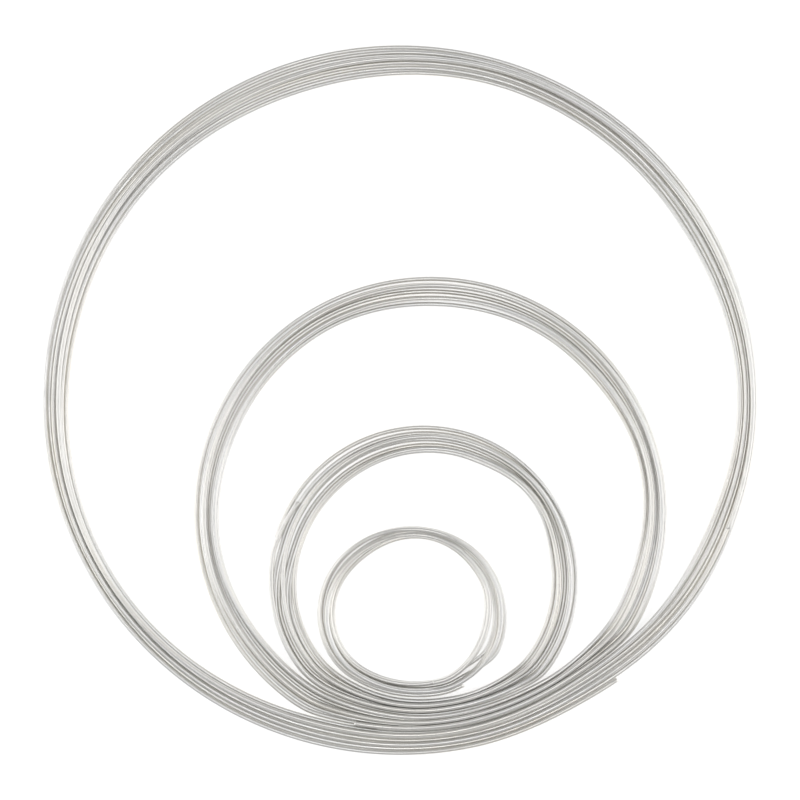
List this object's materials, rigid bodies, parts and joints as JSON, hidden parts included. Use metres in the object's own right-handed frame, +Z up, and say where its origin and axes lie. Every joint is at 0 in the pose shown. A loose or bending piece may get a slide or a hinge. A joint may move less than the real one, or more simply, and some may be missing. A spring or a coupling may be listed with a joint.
{
  "type": "wreath frame",
  "caption": "Nested set of flat round wire wreath frames, each a springy coil of stiff bright wire with two cut ends.",
  "frame": {"origin": "centre of the largest coil, on the surface that the set lies on", "axes": "+Z up out of the plane of the coils, +Y away from the side where the coils touch"},
  "size_m": [0.2996, 0.2976, 0.0073],
  "materials": {
    "wire": "satin"
  },
  "bodies": {
    "large_coil": {"large_coil": "wire"},
    "medium_coil": {"medium_coil": "wire"},
    "small_coil": {"small_coil": "wire"},
    "mini_coil": {"mini_coil": "wire"}
  },
  "joints": [
    {"name": "medium_coil_lift", "type": "slide", "parent": "large_coil", "child": "medium_coil", "axis": [0, 0, 1], "range_m": [0, 0.06]},
    {"name": "small_coil_lift", "type": "slide", "parent": "large_coil", "child": "small_coil", "axis": [0, 0, 1], "range_m": [0, 0.06]},
    {"name": "mini_coil_lift", "type": "slide", "parent": "large_coil", "child": "mini_coil", "axis": [0, 0, 1], "range_m": [0, 0.06]}
  ]
}
